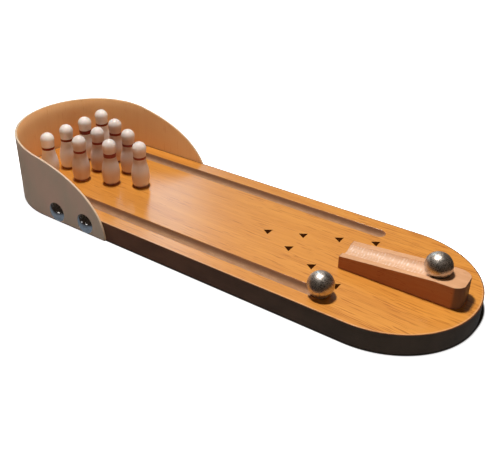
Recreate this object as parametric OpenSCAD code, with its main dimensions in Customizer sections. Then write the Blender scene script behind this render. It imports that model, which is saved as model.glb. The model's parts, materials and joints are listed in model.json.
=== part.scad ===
// Tabletop bowling game: a wooden lane with a bent backstop, ten pins, a ball ramp and two steel balls.
// Origin: middle of the overall length and width, on the table. +X points to the player's end, +Z is up.

/* [Lane board] */
// Length of the board along the lane
board_l = 311; // [290:1:340]
// Width of the board, which also sets its round ends
board_w = 100; // [98:1:120]
// Thickness of the whole board
board_t = 12; // [11.5:0.5:16]
// Thickness of the wood veneer on top
veneer_t = 0.6; // [0.5:0.1:1.2]
// Thickness of the dark edging strip
band_t = 0.5; // [0.4:0.1:1.2]
// Gap between the edging strip and the table
band_lift = 0.3; // [0.2:0.1:1]

/* [Gutters] */
// Width of a gutter at the lane's surface
gutter_w = 8.3; // [7:0.1:9.5]
// Depth of a gutter
gutter_depth = 2.6; // [2:0.1:3.2]
// Edge of the board to a gutter's middle line
gutter_inset = 13.6; // [9:0.1:14.5]
// End of a gutter before the middle of the near round end
gutter_near = 20.3; // [5:0.1:60]
// End of a gutter past the middle of the far round end
gutter_far = 12.5; // [0:0.5:13]

/* [Aiming arrows] */
// Tip of the middle arrow before the middle of the near round end
arrow_reach = 76.9; // [70:0.1:110]
// Step of each arrow pair towards the player
arrow_step = 19; // [12:0.5:20]
// Step of each arrow pair to the side
arrow_spread = 8.4; // [7:0.1:9]
// Arrow pairs beside the middle arrow
arrow_pairs = 3; // [1:1:3]
// Length of an arrow from tip to base
arrow_l = 4.5; // [3:0.1:6]
// Width of an arrow's base
arrow_w = 6; // [4:0.1:6.5]
// Depth of the paint in the veneer
arrow_depth = 0.3; // [0.2:0.05:0.4]

/* [Backstop] */
// Height of the backstop above the table at its back
stop_h = 45.4; // [40:0.2:60]
// Thickness of the bent strip
stop_t = 1.4; // [1.2:0.1:3]
// Reach of the strip's feet past the middle of the far round end
stop_foot = 54; // [47:0.1:60]
// How far the strip was fastened off centre, far side forward
stop_skew = 0.8; // [0:0.05:2.5]
// How late the rim falls away, as the power of its curve
rim_power = 3.4; // [2.2:0.1:4]
// Clearance between the strip and the edging
stop_gap = 0.05; // [0.03:0.01:0.2]

/* [Tacks] */
// Diameter of a tack's domed head
tack_head_d = 13.1; // [8:0.1:13.2]
// Height of the dome
tack_dome = 2.2; // [1.2:0.1:4]
// Diameter of a tack's shank
tack_d = 2.4; // [1.6:0.1:2.6]
// Length of the shank with its point
tack_l = 14; // [9:0.5:18]
// Length of the point
tack_point = 3; // [2:0.5:4]
// Diameter of the blunted tip
tack_tip_d = 0.4; // [0.2:0.1:0.8]
// Middle of a tack above the table
tack_up = 6.6; // [6.6:0.1:7]
// Rear tack forward of the middle of the far round end
tack_first = 12.5; // [8:0.1:14]
// Distance between the two tacks of one side
tack_pitch = 24.5; // [18:0.1:26]
// Radial clearance round a shank
tack_gap = 0.04; // [0.02:0.01:0.1]

/* [Pins] */
// Height of a pin
pin_h = 31.2; // [28:0.1:34]
// Radius of the round head
pin_head_r = 4.6; // [4.4:0.05:4.8]
// Radius of the neck
pin_neck_r = 4.15; // [3.7:0.05:4.3]
// Height of the narrowest place of the neck
pin_neck_z = 20.3; // [19:0.1:22]
// Radius of the belly
pin_belly_r = 6; // [5.4:0.05:6.2]
// Height of the widest place of the belly
pin_belly_z = 7.5; // [6.5:0.1:9.5]
// Radius of the curve from the belly up towards the neck
pin_shoulder_arc = 26; // [20:0.5:30]
// Radius of the foot above its eased edge
pin_foot_r = 4.9; // [4.6:0.05:5.3]
// Eased edge under the foot
pin_ease = 0.8; // [0.3:0.1:1]
// Head pin forward of the middle of the far round end
pin_front = 38.5; // [34:0.1:48]
// Distance between the rows
pin_row_pitch = 19.4; // [18:0.1:21]
// Distance between the pins of a row
pin_pitch = 17; // [15:0.1:17.5]

/* [Pin bands] */
// Height of the red band's middle
band_z = 20.8; // [19:0.1:21.5]
// Width of a thin band
band_h = 1.5; // [0.8:0.1:1.8]
// Width of a broad band
broad_band_h = 2.6; // [1.8:0.1:3]
// Depth of the turned bed under the paint
band_bed = 0.2; // [0.1:0.05:0.4]
// How far the paint stands proud of the wood
band_film = 0.06; // [0.03:0.01:0.15]

/* [Balls] */
// Diameter of a steel ball
ball_d = 14.4; // [12:0.1:14.8]
// Running gap under a ball
ball_gap = 0.15; // [0.1:0.01:0.3]

/* [Ramp] */
// Length of the ramp
ramp_l = 66; // [60:0.5:70]
// Width of the ramp
ramp_w = 18.7; // [17.5:0.1:26]
// Height of the ramp's front end
ramp_front_h = 7.5; // [6.5:0.1:9]
// Height of the ramp's level rear
ramp_h = 12.5; // [11:0.1:16]
// Length of the level rear part
ramp_level_l = 15; // [14:0.5:24]
// Radius of the rear corners
ramp_corner_r = 6; // [3:0.5:8]
// Ramp's front end before the middle of the near round end
ramp_front = 23.7; // [20:0.1:40]
// Middle of the ramp's front end to the side of the lane's line
ramp_side = -0.35; // [-2:0.05:2]
// Ramp's turn away from the lane's line, in degrees
ramp_turn = 0.5; // [-5:0.5:5]
// Depth of the groove at the front end
groove_front_depth = 2.3; // [1.5:0.1:3]
// Depth of the groove where the ball rests
groove_rear_depth = 3.6; // [3:0.1:4.5]
// Rear end of the ramp to the middle of the resting ball
ball_inset = 16; // [13:0.5:22]

/* [Hidden] */
PINS = [for (i = [1:10]) str("pin_", i)];
$fn = 96;

// A small overshoot for cuts that run out of a face
over = 1;

// Middles of the two round ends: the board is set forward by half the strip, so the whole game is centred
board_x = (stop_gap + stop_t) / 2;
near_x = board_x + board_l / 2 - board_w / 2;
far_x = board_x - board_l / 2 + board_w / 2;
stop_in_r = board_w / 2 + stop_gap;
stop_out_r = stop_in_r + stop_t;
core_t = board_t - veneer_t;

ball_r = ball_d / 2;
seat_r = ball_r + ball_gap;

// A gutter is the arc that has its width and depth
gutter_r = (pow(gutter_w / 2, 2) + pow(gutter_depth, 2)) / (2 * gutter_depth);
gutter_y = board_w / 2 - gutter_inset;
gutter_axis_z = board_t - gutter_depth + gutter_r;
gutter_near_x = near_x - gutter_near;
gutter_far_x = far_x - gutter_far;
// The ball is wider than the gutter, so it rides on the gutter's two edges
gutter_ball_z = board_t + sqrt(pow(seat_r, 2) - pow(gutter_w / 2, 2));

// The ramp's groove is the ball's own round, sunk deeper at the rear. Places on the ramp count from its front end
ramp_slope_l = ramp_l - ramp_level_l;
ball_rest = ramp_l - ball_inset;
groove_z = ramp_height(ball_rest) - groove_rear_depth + seat_r;
groove_front_z = ramp_front_h - groove_front_depth + seat_r;
groove_slope = atan((groove_z - groove_front_z) / ball_rest);

// A pin is turned from five arcs that run smoothly into each other: foot to belly, belly to shoulder, shoulder to
// neck, neck to head, and the head
head_z = pin_h - pin_head_r;
waist = pin_belly_r - pin_neck_r;
taper = pin_belly_r - pin_foot_r;
foot_arc = (pow(pin_belly_z - pin_ease, 2) + taper * taper) / (2 * taper);
neck_arc = (pow(pin_neck_z - pin_belly_z, 2) + waist * waist) / (2 * waist) - pin_shoulder_arc;
throat_arc = (pow(head_z - pin_neck_z, 2) / (pin_head_r - pin_neck_r) - (pin_head_r + pin_neck_r)) / 2;
shoulder_axis = pin_belly_r - pin_shoulder_arc;
neck_axis = pin_neck_r + neck_arc;
throat_axis = pin_neck_r + throat_arc;
foot_angle = asin((pin_ease - pin_belly_z) / foot_arc);
shoulder_angle = atan2(pin_neck_z - pin_belly_z, neck_axis - shoulder_axis);
head_angle = atan2(pin_neck_z - head_z, throat_axis);

// Rows from the head pin back, and how far each pin was set off its mark by hand
PIN_ROW = [0, 1, 1, 2, 2, 2, 3, 3, 3, 3];
PIN_PLACE = [0, -0.5, 0.5, -1, 0, 1, -1.5, -0.5, 0.5, 1.5];
PIN_DRIFT = [[0, 0], [1, 0], [0, 2.3], [0.5, 1], [0.5, 1.3], [0, 2], [-0.5, 0.6], [-0.5, 0.6], [0, 0.8], [0, 0.3]];
BROAD_BANDS = [2, 9];

function ramp_height(u) = ramp_front_h + (ramp_h - ramp_front_h) * min(u, ramp_slope_l) / ramp_slope_l;
function arc(x, z, r, from, to, steps) = [
    for (i = [0:steps]) let (a = from + (to - from) * i / steps) [x + r * cos(a), z + r * sin(a)]
];
function neck_radius(z) = let (r = z < pin_neck_z ? neck_arc : throat_arc)
    pin_neck_r + r - sqrt(r * r - pow(z - pin_neck_z, 2));
function after_first(points) = [for (i = [1:len(points) - 1]) points[i]];
function pin_x(i) = far_x + pin_front - pin_row_pitch * PIN_ROW[i - 1] + PIN_DRIFT[i - 1][0];
function pin_y(i) = pin_pitch * PIN_PLACE[i - 1] + PIN_DRIFT[i - 1][1];
function is_broad(i) = len([for (b = BROAD_BANDS) if (b == i) b]) > 0;
function band_height(i) = is_broad(i) ? broad_band_h : band_h;

// Rim height at a place along the strip, from 0 at the middle of its back to its foot
function rim_height(along, foot) = stop_h * sqrt(max(0, 1 - pow(along / foot, rim_power)));

module stadium(length, width) {
    square([length - width, width], center = true);
    for (side = [-1, 1]) translate([side * (length - width) / 2, 0]) circle(d = width);
}

module inside_edging() {
    stadium(board_l - 2 * band_t, board_w - 2 * band_t);
}

module gutter_cut(side) {
    translate([0, side * gutter_y, gutter_axis_z]) {
        translate([gutter_far_x, 0, 0]) rotate([0, 90, 0]) cylinder(r = gutter_r, h = gutter_near_x - gutter_far_x);
        for (x = [gutter_far_x, gutter_near_x]) translate([x, 0, 0]) sphere(r = gutter_r);
    }
}

// Puts its children at each of the four tacks, with +Z pointing into the board
module at_tacks() {
    for (side = [-1, 1], i = [0, 1])
        translate([far_x + tack_first + i * tack_pitch, side * stop_out_r, tack_up])
            rotate([side * 90, 0, 0]) children();
}

module tack_holes() {
    at_tacks() translate([0, 0, -over]) cylinder(d = tack_d + 2 * tack_gap, h = tack_l + over);
}

module lane_core() {
    color("#9a6a42") difference() {
        translate([board_x, 0, 0]) linear_extrude(core_t) inside_edging();
        for (side = [-1, 1]) gutter_cut(side);
        tack_holes();
    }
}

module lane_veneer() {
    color("#e0963f") difference() {
        translate([board_x, 0, core_t]) linear_extrude(veneer_t) inside_edging();
        for (side = [-1, 1]) gutter_cut(side);
        arrow_places() linear_extrude(arrow_depth + over) arrow_shape();
    }
}

module edge_band() {
    color("#33261e") difference() {
        translate([board_x, 0, band_lift]) linear_extrude(board_t - band_lift) difference() {
            stadium(board_l, board_w);
            inside_edging();
        }
        tack_holes();
    }
}

module arrow_shape() {
    polygon([[0, 0], [arrow_l, arrow_w / 2], [arrow_l, -arrow_w / 2]]);
}

module arrow_places() {
    for (k = [-arrow_pairs:arrow_pairs])
        translate([near_x - arrow_reach + abs(k) * arrow_step, k * arrow_spread, board_t - arrow_depth]) children();
}

module aiming_arrows() {
    color("#3a1f12") arrow_places() linear_extrude(arrow_depth) arrow_shape();
}

// What is kept under the rim on one side, seen from that side
module rim_side(side) {
    foot = stop_foot + side * stop_skew;
    quarter = stop_out_r * 90 * PI / 180;
    steps = 26;
    bend = [
        for (i = [0:steps]) let (a = 90 - 90 * i / steps)
            [far_x - stop_out_r * sin(a), rim_height(quarter - stop_out_r * a * PI / 180, quarter + foot)]
    ];
    straight = [
        for (i = [1:steps]) let (s = foot * (1 - pow(1 - i / steps, 2)))
            [far_x + s, rim_height(quarter + s, quarter + foot)]
    ];
    outline = concat([[far_x - stop_out_r - over, 0], [far_x - stop_out_r - over, stop_h]], bend, straight);
    depth = stop_out_r + over;
    translate([0, side > 0 ? depth : 0, 0]) rotate([90, 0, 0]) linear_extrude(depth) polygon(outline);
}

module backstop() {
    color("#b58a62") difference() {
        intersection() {
            linear_extrude(stop_h) difference() {
                union() {
                    translate([far_x, 0]) circle(r = stop_out_r);
                    translate([far_x, -stop_out_r]) square([stop_foot + stop_skew + over, 2 * stop_out_r]);
                }
                translate([far_x, 0]) circle(r = stop_in_r);
                translate([far_x, -stop_in_r]) square([stop_foot + stop_skew + 2 * over, 2 * stop_in_r]);
            }
            union() {
                rim_side(-1);
                rim_side(1);
            }
        }
        tack_holes();
    }
}

module tack() {
    head_r = tack_head_d / 2;
    dome_r = (head_r * head_r + tack_dome * tack_dome) / (2 * tack_dome);
    straight_l = tack_l - tack_point;
    rotate([180, 0, 0]) intersection() {
        translate([0, 0, tack_dome - dome_r]) sphere(r = dome_r);
        cylinder(r = head_r + over, h = tack_dome + over);
    }
    cylinder(d = tack_d, h = straight_l);
    translate([0, 0, straight_l]) cylinder(d1 = tack_d, d2 = tack_tip_d, h = tack_point);
}

module backstop_tacks() {
    color("#b8bcc0") at_tacks() tack();
}

module gutter_ball() {
    color("#a9aaac") translate([gutter_near_x, -gutter_y, gutter_ball_z]) sphere(r = ball_r);
}

// Puts its children on the lane where the ramp stands, with x = 0 at its front end
module on_ramp_place() {
    translate([near_x - ramp_front, ramp_side, board_t]) rotate([0, 0, ramp_turn]) children();
}

module ramp_plan() {
    inner_w = ramp_w - 2 * ramp_corner_r;
    translate([0, -ramp_w / 2]) square([ramp_l - ramp_corner_r, ramp_w]);
    translate([0, -inner_w / 2]) square([ramp_l, inner_w]);
    for (side = [-1, 1]) translate([ramp_l - ramp_corner_r, side * inner_w / 2]) circle(r = ramp_corner_r);
}

module ramp_groove() {
    translate([ball_rest, 0, groove_z]) {
        sphere(r = seat_r);
        rotate([0, -90 - groove_slope, 0]) cylinder(r = seat_r, h = ball_rest / cos(groove_slope) + seat_r);
    }
}

module aiming_ramp() {
    side_view = [[0, 0], [ramp_l, 0], [ramp_l, ramp_h], [ramp_slope_l, ramp_h], [0, ramp_front_h]];
    color("#e6aa86") on_ramp_place() difference() {
        intersection() {
            linear_extrude(ramp_h) ramp_plan();
            translate([0, ramp_w / 2, 0]) rotate([90, 0, 0]) linear_extrude(ramp_w) polygon(side_view);
        }
        ramp_groove();
    }
}

module ramp_ball() {
    color("#a9aaac") on_ramp_place() translate([ball_rest, 0, groove_z]) sphere(r = ball_r);
}

module pin_blank() {
    steps = 6;
    foot = arc(pin_belly_r - foot_arc, pin_belly_z, foot_arc, foot_angle, 0, steps);
    shoulder = arc(shoulder_axis, pin_belly_z, pin_shoulder_arc, 0, shoulder_angle, steps);
    neck = arc(neck_axis, pin_neck_z, neck_arc, 180 + shoulder_angle, 180, steps);
    throat = arc(throat_axis, pin_neck_z, throat_arc, 180, 180 + head_angle, steps);
    head = arc(0, head_z, pin_head_r, head_angle, 90, 9);
    side = concat(foot, after_first(shoulder), after_first(neck), after_first(throat), after_first(head));
    outline = [for (i = [0:len(side) - 2]) side[i]];
    rotate_extrude() polygon(concat([[0, 0], [pin_foot_r - pin_ease, 0]], outline, [[0, pin_h]]));
}

// The ring between the turned bed and the paint's surface, or out past it to cut the bed
module band_ring(i, proud) {
    bed_r = neck_radius(band_z) - band_bed;
    low = band_z - band_height(i) / 2;
    face = [for (s = [0:4]) let (z = low + band_height(i) * s / 4) [neck_radius(z) + proud, z]];
    rotate_extrude() polygon(concat([[bed_r, low]], face, [[bed_r, low + band_height(i)]]));
}

module pin(i) {
    color("#efe6dc") translate([pin_x(i), pin_y(i), board_t]) difference() {
        pin_blank();
        band_ring(i, over);
    }
}

module pin_band(i) {
    color("#7c1a0e") translate([pin_x(i), pin_y(i), board_t]) band_ring(i, band_film);
}

lane_core();
lane_veneer();
edge_band();
aiming_arrows();
backstop();
backstop_tacks();
gutter_ball();
aiming_ramp();
ramp_ball();
for (i = [1:10]) pin(i);
for (i = [1:10]) pin_band(i);
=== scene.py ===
# %% [markdown]
# # A table bowling game, dressed in Blender
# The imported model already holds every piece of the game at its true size: the lane board with its veneer
# and edging, the bent backstop, the ramp, two balls and ten pins. This lesson never moves or resizes a
# piece. It gives each one the surface of the real thing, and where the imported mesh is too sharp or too
# coarse for a close look it builds a finer mesh in the same place.

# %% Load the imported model
import json
import math
import random

import bmesh
import bpy
from mathutils import Euler, Matrix, Vector, noise


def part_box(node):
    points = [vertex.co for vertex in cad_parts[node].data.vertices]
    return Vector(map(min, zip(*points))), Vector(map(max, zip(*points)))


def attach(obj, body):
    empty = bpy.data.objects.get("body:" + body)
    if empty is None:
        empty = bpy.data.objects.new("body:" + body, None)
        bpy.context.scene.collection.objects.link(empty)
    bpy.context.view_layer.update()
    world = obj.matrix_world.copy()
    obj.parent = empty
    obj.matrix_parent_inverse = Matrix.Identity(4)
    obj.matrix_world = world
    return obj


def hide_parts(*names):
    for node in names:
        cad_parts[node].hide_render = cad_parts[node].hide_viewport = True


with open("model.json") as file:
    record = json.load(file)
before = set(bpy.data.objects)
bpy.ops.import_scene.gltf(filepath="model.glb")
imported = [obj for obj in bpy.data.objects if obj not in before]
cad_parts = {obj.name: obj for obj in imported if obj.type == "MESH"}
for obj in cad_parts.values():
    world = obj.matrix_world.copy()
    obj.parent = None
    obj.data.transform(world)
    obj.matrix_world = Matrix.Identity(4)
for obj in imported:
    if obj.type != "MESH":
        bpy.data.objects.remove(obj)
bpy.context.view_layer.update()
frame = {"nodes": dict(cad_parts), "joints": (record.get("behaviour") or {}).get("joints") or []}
MM = 0.001

# %% [markdown]
# ## The camera
# The picture was taken from the player's right, low and close. The place, the lens and the shift were
# fitted to the board's outline, so that the same edges land on the same pixels. A shift keeps the upright
# lines as they are in a cropped picture. Turning the camera instead would bend the perspective.

# %% Place the camera
VIEW_AZIMUTH = math.radians(35.709)
VIEW_ELEVATION = math.radians(28.228)
VIEW_ROLL = math.radians(0.173)
VIEW_DISTANCE = 456.8 * MM
VIEW_TARGET = Vector((-26.44, 23.7, 12.0)) * MM

towards_camera = Vector((
    math.sin(VIEW_AZIMUTH) * math.cos(VIEW_ELEVATION),
    -math.cos(VIEW_AZIMUTH) * math.cos(VIEW_ELEVATION),
    math.sin(VIEW_ELEVATION),
))
camera = bpy.data.objects.new("camera", bpy.data.cameras.new("camera"))
bpy.context.scene.collection.objects.link(camera)
bpy.context.scene.camera = camera
camera.location = VIEW_TARGET + towards_camera * VIEW_DISTANCE
camera.rotation_mode = "QUATERNION"
roll = Euler((0, 0, VIEW_ROLL)).to_quaternion()
camera.rotation_quaternion = (-towards_camera).to_track_quat("-Z", "Y") @ roll
camera.data.sensor_width = 36
camera.data.lens = 50.01
camera.data.shift_x = 0.0787
camera.data.shift_y = -0.0769
camera.data.clip_start = 0.01
print("camera at", [round(v, 4) for v in camera.location])

# %% [markdown]
# ## Light
# The light in the picture comes mostly from above, a little behind and to the left, and from a small warm
# source: the shadows under the balls are dark with a clean edge. The lamp is feathered, which means that it
# points past the game towards the right, so that the near end gets a little more of it than the pins. The
# pale sheen in front of the pins is cool, as from a window: a tall narrow panel far behind and to the left,
# which the varnish mirrors and blurs.

# %% Lamps
scene = bpy.context.scene
scene.view_settings.view_transform = "Standard"


def softbox(name, place, target, width, height, power, colour):
    """A lamp panel at a place, looking at a target, both in millimetres."""
    lamp = bpy.data.lights.new(name, "AREA")
    lamp.shape = "RECTANGLE"
    lamp.size = width * MM
    lamp.size_y = height * MM
    lamp.energy = power
    lamp.color = colour
    holder = bpy.data.objects.new(name, lamp)
    scene.collection.objects.link(holder)
    holder.location = Vector(place) * MM
    direction = (Vector(target) - Vector(place)).normalized()
    holder.rotation_mode = "QUATERNION"
    holder.rotation_quaternion = direction.to_track_quat("-Z", "Y")
    return holder


softbox("overhead", (-142, 57, 900), (1400, 0, 160), 80, 180, 15.0, (1.0, 0.95, 0.88))
softbox("window", (-871, 981, 762), (-35, -15, 12), 150, 520, 1.25, (0.45, 0.78, 1.0))

# %% [markdown]
# ## Small helpers for nodes
# Every material below is a handful of nodes. One helper makes a node, fills its inputs and links whatever
# is already a socket, so that each material reads as a list of what goes into what. Another starts a node
# group, with its named inputs and outputs, for the effects that several materials share. Places are in
# millimetres on the piece itself, so a smooth step between two places has its numbers in millimetres too.

# %% Helpers that make nodes
def fill(tree, socket, value):
    """Links a socket to another one, or sets its value."""
    if isinstance(value, bpy.types.NodeSocket):
        tree.links.new(value, socket)
    else:
        socket.default_value = value


def add_node(tree, kind, inputs=None, **settings):
    """Makes a node, sets its properties, and links or fills its inputs."""
    made = tree.nodes.new(kind)
    for key, value in settings.items():
        setattr(made, key, value)
    for key, value in (inputs or {}).items():
        fill(tree, made.inputs[key], value)
    return made


def calc(tree, operation, a, b=0.0, c=0.0):
    """One step of arithmetic on sockets or numbers."""
    return add_node(tree, "ShaderNodeMath", {0: a, 1: b, 2: c}, operation=operation).outputs[0]


def times(tree, a, b):
    """The product of two sockets or numbers."""
    return calc(tree, "MULTIPLY", a, b)


def vector_calc(tree, operation, a, b=(0, 0, 0)):
    """One step of arithmetic on vectors. A dot product and a distance come out as numbers."""
    made = add_node(tree, "ShaderNodeVectorMath", {0: a, 1: b}, operation=operation)
    return made.outputs["Value" if operation in ("DOT_PRODUCT", "DISTANCE") else "Vector"]


def combine(tree, x=0.0, y=0.0, z=0.0):
    """A vector made of three parts."""
    return add_node(tree, "ShaderNodeCombineXYZ", {"X": x, "Y": y, "Z": z}).outputs[0]


def split(tree, vector):
    """A vector's parts, under the names X, Y and Z."""
    return add_node(tree, "ShaderNodeSeparateXYZ", {"Vector": vector}).outputs


def stretch(tree, vector, x, y, z):
    """A vector with each axis multiplied by its own number."""
    return vector_calc(tree, "MULTIPLY", vector, (x, y, z))


def turn_about_z(tree, vector, angle):
    """A vector turned about the upright axis."""
    inputs = {"Vector": vector, "Angle": angle}
    return add_node(tree, "ShaderNodeVectorRotate", inputs, rotation_type="Z_AXIS").outputs[0]


def blend_colour(tree, factor, a, b, how="MIX"):
    """A mix of two colours, each a socket or a tuple."""
    made = add_node(tree, "ShaderNodeMix", {0: factor, 6: a, 7: b}, data_type="RGBA", blend_type=how)
    return made.outputs[2]


def noise_at(tree, vector, scale=1.0, detail=2.0, roughness=0.5):
    """Noise from 0 to 1 at a vector."""
    inputs = {"Vector": vector, "Scale": scale, "Detail": detail, "Roughness": roughness}
    return add_node(tree, "ShaderNodeTexNoise", inputs).outputs["Fac"]


def between(tree, value, low, high, to_low=0.0, to_high=1.0):
    """A value's way from low to high, as a smooth step."""
    inputs = {"Value": value, "From Min": low, "From Max": high, "To Min": to_low, "To Max": to_high}
    return add_node(tree, "ShaderNodeMapRange", inputs, interpolation_type="SMOOTHSTEP").outputs["Result"]


def mix_shaders(tree, factor, a, b):
    """One shader where the factor is 0 and another where it is 1."""
    return add_node(tree, "ShaderNodeMixShader", {0: factor, 1: a, 2: b}).outputs[0]


def ray_kinds(tree):
    """Whether a ray comes from the camera, and whether something mirrored it or let it through."""
    rays = add_node(tree, "ShaderNodeLightPath").outputs
    return rays["Is Camera Ray"], calc(tree, "MAXIMUM", rays["Is Glossy Ray"], rays["Is Transmission Ray"])


print("node helpers ready")

# %% Helpers for groups and materials
def start_group(name, inputs, outputs):
    """An empty node group. Inputs are (name, kind, value) and outputs (name, kind)."""
    group = bpy.data.node_groups.new(name, "ShaderNodeTree")
    for label, kind, value in inputs:
        socket = group.interface.new_socket(label, in_out="INPUT", socket_type="NodeSocket" + kind)
        if value is not None:
            socket.default_value = value
    for label, kind in outputs:
        group.interface.new_socket(label, in_out="OUTPUT", socket_type="NodeSocket" + kind)
    given = group.nodes.new("NodeGroupInput").outputs
    result = group.nodes.new("NodeGroupOutput").inputs
    return group, given, result


def fill_group(tree, group, **inputs):
    """Places a group and fills its inputs by name, with _ for a space. Returns its outputs."""
    named = {key.replace("_", " "): value for key, value in inputs.items()}
    return add_node(tree, "ShaderNodeGroup", named, node_tree=group).outputs


def start_material(name):
    """A new material. Returns it, its tree, its shader and the place on the piece in millimetres."""
    material = bpy.data.materials.new(name)
    material.use_nodes = True
    tree = material.node_tree
    place = stretch(tree, add_node(tree, "ShaderNodeTexCoord").outputs["Object"], 1 / MM, 1 / MM, 1 / MM)
    return material, tree, tree.nodes["Principled BSDF"], place


def paint(tree, shader, **values):
    """Fills a shader's sockets by name, with _ for a space."""
    for key, value in values.items():
        fill(tree, shader.inputs[key.replace("_", " ")], value)


def bump(tree, height, depth):
    """A bump of a depth in millimetres."""
    inputs = {"Height": height, "Distance": depth * MM, "Strength": 1.0}
    return add_node(tree, "ShaderNodeBump", inputs).outputs["Normal"]


def own_normal(tree):
    """The direction of the surface, as the piece itself counts it."""
    return add_node(tree, "ShaderNodeTexCoord").outputs["Normal"]


def facing(tree, axis):
    """How far the piece's own surface faces along one of its axes, from -1 to 1."""
    return split(tree, own_normal(tree))[axis]


def from_middle_line(tree, place, near_x, far_x):
    """How far a point is in plan from the straight line between two points on the X axis."""
    axes = split(tree, place)
    past = calc(tree, "ABSOLUTE", calc(tree, "SUBTRACT", axes["X"], (near_x + far_x) / 2))
    past = calc(tree, "MAXIMUM", calc(tree, "SUBTRACT", past, (near_x - far_x) / 2), 0.0)
    squares = calc(tree, "ADD", calc(tree, "POWER", past, 2.0), calc(tree, "POWER", axes["Y"], 2.0))
    return calc(tree, "SQRT", squares)


print("material helpers ready")

# %% [markdown]
# ## The room
# To the camera the world is plain white. To the light it is a dark room with a bright backdrop all round,
# very low over the horizon. That backdrop lights upright faces and hardly reaches the flat ones, so the
# shadows on the lane stay deep. It is warm, and brighter on the left and on the right than before and
# behind the game. Metal and varnish mirror a pale strip and a soft glow behind the game on the left, and
# for the rest a brown, mottled, dark room. That contrast makes steel look like steel.

# %% World
PALE_WAY = Vector((-0.78, 0.62, 0))
PALE_STRIP = 0.8
PALE_COLOUR = (1.0, 0.94, 0.88, 1)
GLOW_WAY = Vector((-0.50, 0.44, 0.75)).normalized()
GLOW = 0.4
ROOM_DARK = 0.02
ROOM_BROWN = (1.0, 0.66, 0.44, 1)
BACKDROP = 2.85
BACKDROP_WARM = (1.0, 0.80, 0.62, 1)
WHITE = (1, 1, 1, 1)

world = bpy.data.worlds.new("studio")
scene.world = world
world.use_nodes = True
sky = world.node_tree
sky.nodes.clear()


def backdrop(colour, strength):
    """A background of the world."""
    return add_node(sky, "ShaderNodeBackground", {"Color": colour, "Strength": strength}).outputs[0]


way = add_node(sky, "ShaderNodeTexCoord").outputs["Generated"]
up = split(sky, way)["Z"]
sideways = calc(sky, "ABSOLUTE", split(sky, way)["X"])
leftward = vector_calc(sky, "DOT_PRODUCT", way, PALE_WAY)
sides = between(sky, sideways, 0.2, 0.9, 0.95, 1.45)
low_band = times(sky, between(sky, up, 0.06, 0.20, BACKDROP, 0.0), sides)
lit = backdrop(BACKDROP_WARM, calc(sky, "ADD", low_band, ROOM_DARK))
strip = times(sky, between(sky, up, 0.10, 0.28, PALE_STRIP, 0.0), between(sky, leftward, 0.60, 0.90))
glow = between(sky, vector_calc(sky, "DOT_PRODUCT", way, GLOW_WAY), 0.78, 0.98, 0.0, GLOW)
pale = backdrop(PALE_COLOUR, calc(sky, "MAXIMUM", strip, glow))
mottle = noise_at(sky, way, 5.0, detail=4.0, roughness=0.65)
dim = backdrop(ROOM_BROWN, between(sky, mottle, 0.42, 0.72, 0.2 * ROOM_DARK, 4.0 * ROOM_DARK))
dark_room = add_node(sky, "ShaderNodeAddShader", {0: dim, 1: pale}).outputs[0]
from_camera, mirrored = ray_kinds(sky)
room = mix_shaders(sky, mirrored, lit, dark_room)
seen = mix_shaders(sky, from_camera, room, backdrop(WHITE, 1.0))
add_node(sky, "ShaderNodeOutputWorld", {"Surface": seen})
print("world:", len(sky.nodes), "nodes")

# %% [markdown]
# ## Wood figure
# Three of the pieces are wood, and all wood has the same layers: wide soft bands from the growth rings,
# fine threads along the fibres, and long thin dark dashes where the vessels were cut open. Nothing in it is
# straight, so the grain first sways a little. The group takes a vector whose X runs along the grain, in
# millimetres, so that a piece chooses its own grain direction before it calls the group.

# %% The wood figure group
wood_figure, given, result = start_group(
    "wood figure",
    [
        ("Vector", "Vector", None),
        ("Light", "Color", (0.8, 0.5, 0.3, 1)),
        ("Dark", "Color", (0.6, 0.3, 0.1, 1)),
        ("Dash", "Color", (0.3, 0.1, 0.03, 1)),
        ("Band Width", "Float", 8.0),
        ("Thread Width", "Float", 0.5),
        ("Thread Length", "Float", 30.0),
        ("Dash Width", "Float", 0.7),
        ("Dash Length", "Float", 10.0),
        ("Dash Amount", "Float", 0.5),
        ("Sway", "Float", 0.8),
    ],
    [("Colour", "Color"), ("Height", "Float")],
)
sway = noise_at(wood_figure, stretch(wood_figure, given["Vector"], 0.055, 0.16, 0.16), detail=1.5)
sway = times(wood_figure, calc(wood_figure, "SUBTRACT", sway, 0.5), given["Sway"])
swayed = vector_calc(wood_figure, "ADD", given["Vector"], combine(wood_figure, 0.0, sway, sway))


def one_over(name):
    """One divided by an input of the group."""
    return calc(wood_figure, "DIVIDE", 1.0, given[name])


def grain_noise(along, across, detail, roughness=0.5):
    """Noise on the swayed grain, with its own scale along and across."""
    scaled = vector_calc(wood_figure, "MULTIPLY", swayed, combine(wood_figure, along, across, across))
    return noise_at(wood_figure, scaled, detail=detail, roughness=roughness)


bands = grain_noise(0.012, one_over("Band Width"), 2.0)
threads = grain_noise(one_over("Thread Length"), one_over("Thread Width"), 2.0, 0.6)
dash_noise = grain_noise(one_over("Dash Length"), one_over("Dash Width"), 1.0, 0.45)
patches = grain_noise(0.03, 0.11, 1.0)
dash_limit = calc(wood_figure, "MULTIPLY_ADD", given["Dash Amount"], -0.25, 0.74)
dash_limit = calc(wood_figure, "MULTIPLY_ADD", between(wood_figure, patches, 0.35, 0.65), -0.07, dash_limit)
dashes = between(wood_figure, dash_noise, dash_limit, calc(wood_figure, "ADD", dash_limit, 0.13))
tone = calc(wood_figure, "MULTIPLY_ADD", threads, 0.8, calc(wood_figure, "MULTIPLY_ADD", bands, 0.9, -0.35))
wood_tone = blend_colour(wood_figure, between(wood_figure, tone, 0.15, 0.85), given["Dark"], given["Light"])
height = calc(wood_figure, "MULTIPLY_ADD", dashes, -0.7, times(wood_figure, threads, 0.3))
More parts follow.
